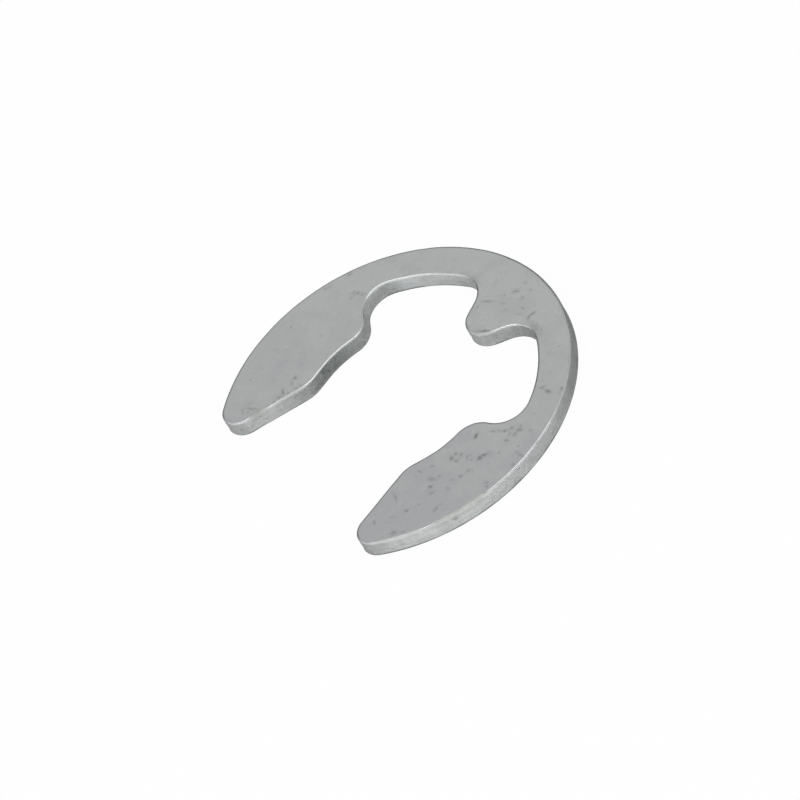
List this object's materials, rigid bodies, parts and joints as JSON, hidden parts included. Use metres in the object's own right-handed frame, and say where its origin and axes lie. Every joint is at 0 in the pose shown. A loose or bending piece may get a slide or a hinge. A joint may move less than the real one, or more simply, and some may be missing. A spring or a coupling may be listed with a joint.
{
  "type": "retaining ring",
  "caption": "E-type retaining ring that snaps sideways into a shaft groove: two broad legs, a mouth and a central prong in zinc-coated spring steel.",
  "frame": {"origin": "on the axis of the shaft that the ring grips, which is the centre of the outer edge, in the plane of the lower face", "axes": "+Z is the shaft's axis and leaves the upper face, whose edges are more rounded; the mouth opens towards -Y and the prong is at +Y; +X runs across the two legs"},
  "size_m": [0.028, 0.0239, 0.0015],
  "materials": {
    "zinc_steel": "satin, zinc coated, with small nicks and scuffs"
  },
  "bodies": {
    "root": {"retaining_ring": "zinc_steel"}
  },
  "joints": []
}
